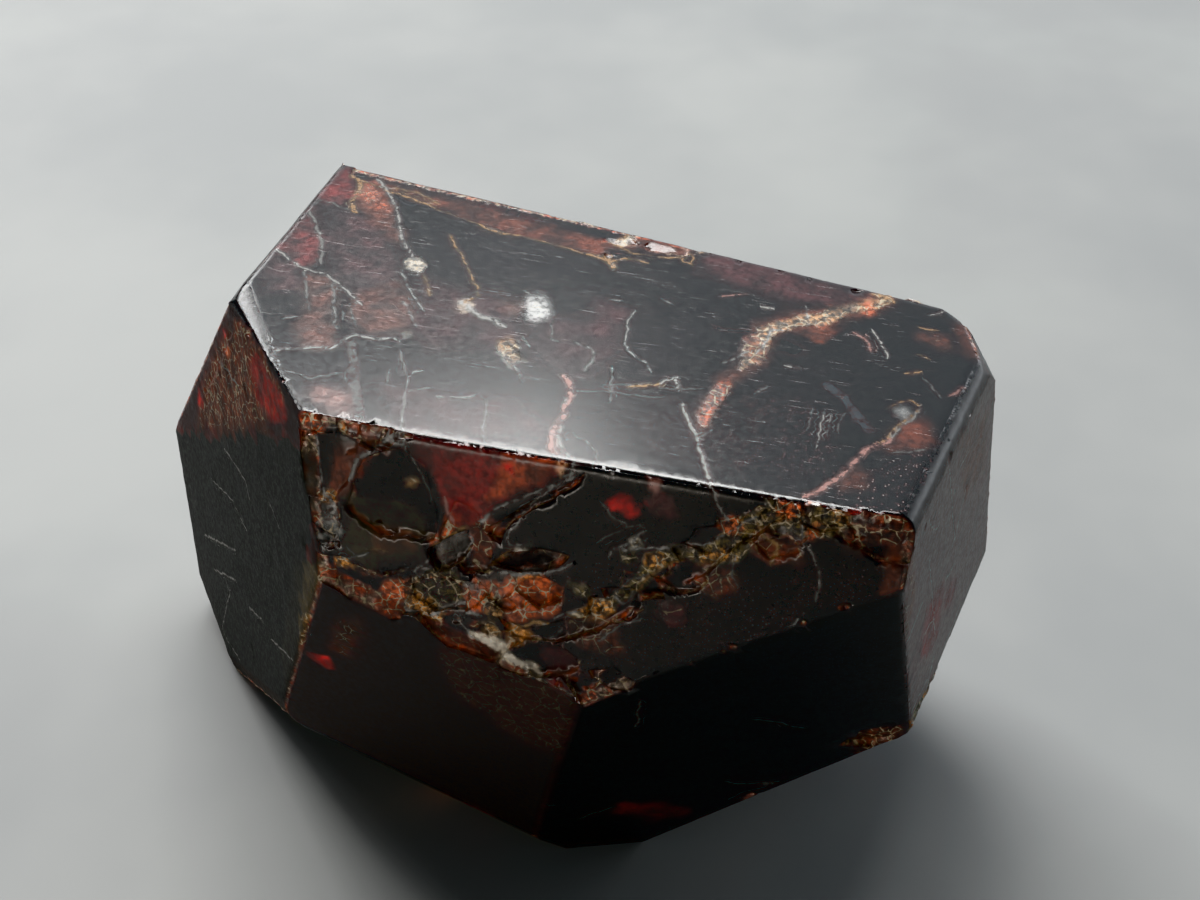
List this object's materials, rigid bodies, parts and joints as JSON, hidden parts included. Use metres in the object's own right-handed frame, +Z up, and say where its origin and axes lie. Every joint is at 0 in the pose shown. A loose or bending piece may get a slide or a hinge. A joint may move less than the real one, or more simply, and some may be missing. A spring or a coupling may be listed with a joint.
{
  "type": "garnet crystal",
  "caption": "Chunky dark red garnet crystal with large polished faces, a broken, ledged front face and a flat base to rest on.",
  "frame": {"origin": "under the middle of the crystal's box, on the surface it rests on", "axes": "+X along the crystal's length, towards the steep right-hand face; +Y towards the back, away from the broken front face; +Z up, out of the large top face"},
  "size_m": [0.0538, 0.031, 0.034],
  "materials": {
    "garnet": "polished, nearly black in the thick and dark red where thin, with rough orange-brown fractures"
  },
  "bodies": {
    "root": {"garnet_crystal": "garnet"}
  },
  "joints": []
}
